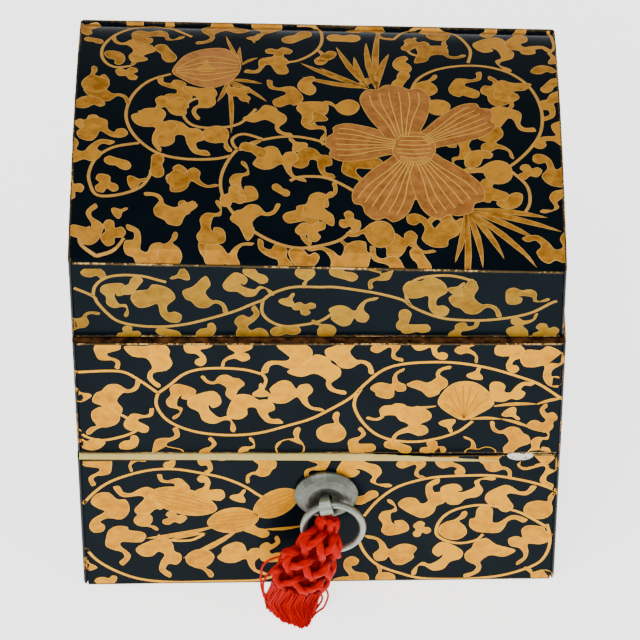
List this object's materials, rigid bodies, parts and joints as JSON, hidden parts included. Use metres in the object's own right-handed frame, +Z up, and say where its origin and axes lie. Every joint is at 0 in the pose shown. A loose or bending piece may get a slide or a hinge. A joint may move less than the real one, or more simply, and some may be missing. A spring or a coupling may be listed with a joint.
{
  "type": "stacked lacquer box with drawer",
  "caption": "Small black lacquer box with a lift-off arched lid, an upper tray and a drawer below, pulled by a ring with a red tassel.",
  "frame": {"origin": "middle of the case's underside, on the surface it stands on", "axes": "+Z up, the drawer's front faces -Y, +X to the right of someone facing it"},
  "size_m": [0.1101, 0.0988, 0.1068],
  "materials": {
    "lacquer": "black lacquer with gold painted vines, glossy and worn",
    "grey_metal": "dull grey iron, worn bright on its edges",
    "red_silk": "bright red silk cord and fringe"
  },
  "bodies": {
    "case": {"case": "lacquer", "lid": "lacquer"},
    "drawer": {"drawer": "lacquer", "rosette": "grey_metal", "staple": "grey_metal"},
    "ring_pull": {"ring": "grey_metal", "tassel_knot": "red_silk", "tassel_skirt": "red_silk"}
  },
  "joints": [
    {"name": "drawer_slide", "type": "slide", "parent": "case", "child": "drawer", "axis": [0, -1, 0], "range_m": [0, 0.055]},
    {"name": "ring_swing", "type": "hinge", "parent": "drawer", "child": "ring_pull", "pos_m": [0.00167, -0.04607, 0.0308], "axis": [-0.9742, -0.017, -0.225], "range_deg": [0, 70]}
  ]
}
